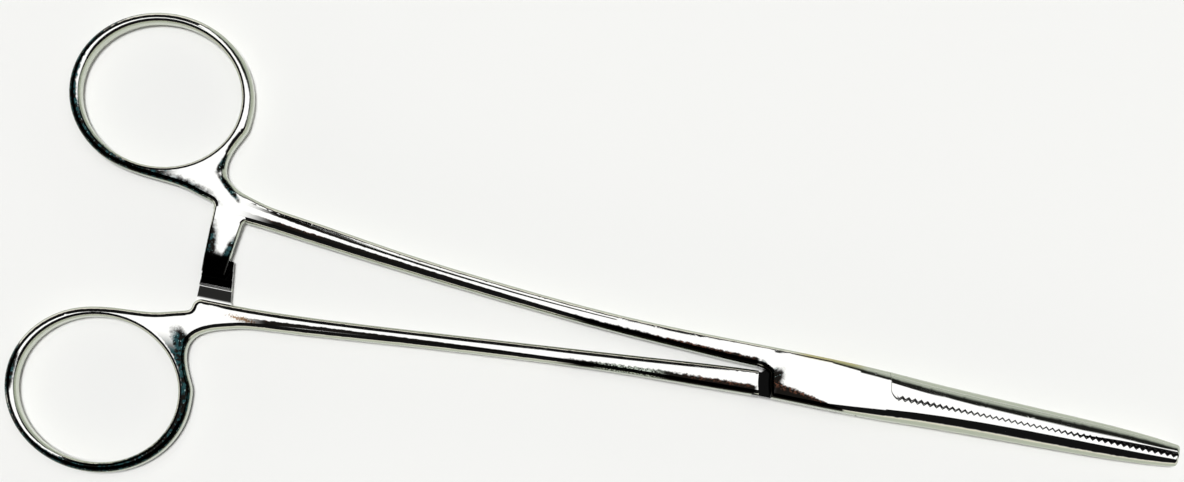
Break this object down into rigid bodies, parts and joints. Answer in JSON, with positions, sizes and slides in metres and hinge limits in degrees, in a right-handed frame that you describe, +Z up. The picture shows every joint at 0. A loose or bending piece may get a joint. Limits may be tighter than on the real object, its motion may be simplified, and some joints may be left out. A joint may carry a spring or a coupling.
{
  "type": "straight forceps",
  "caption": "Straight haemostatic forceps: two crossing halves on a box-lock pivot, with serrated jaws, long shanks, a toothed ratchet and oval finger rings.",
  "frame": {"origin": "where the pivot axis meets the flat underside of the box", "axes": "+X towards the jaw tips, +Y towards the box half's handle, +Z up along the pivot axis"},
  "size_m": [0.1801, 0.0726, 0.0054],
  "materials": {
    "box_half_steel": "polished",
    "tongue_half_steel": "polished",
    "pin_steel": "polished"
  },
  "bodies": {
    "box_side": {"box_half": "box_half_steel", "pivot_pin": "pin_steel"},
    "tongue_side": {"tongue_half": "tongue_half_steel"}
  },
  "joints": [
    {"name": "box_lock", "type": "hinge", "parent": "box_side", "child": "tongue_side", "pos_m": [0, 0, 0.0027], "axis": [0, 0, 1], "range_deg": [0, 50]}
  ]
}
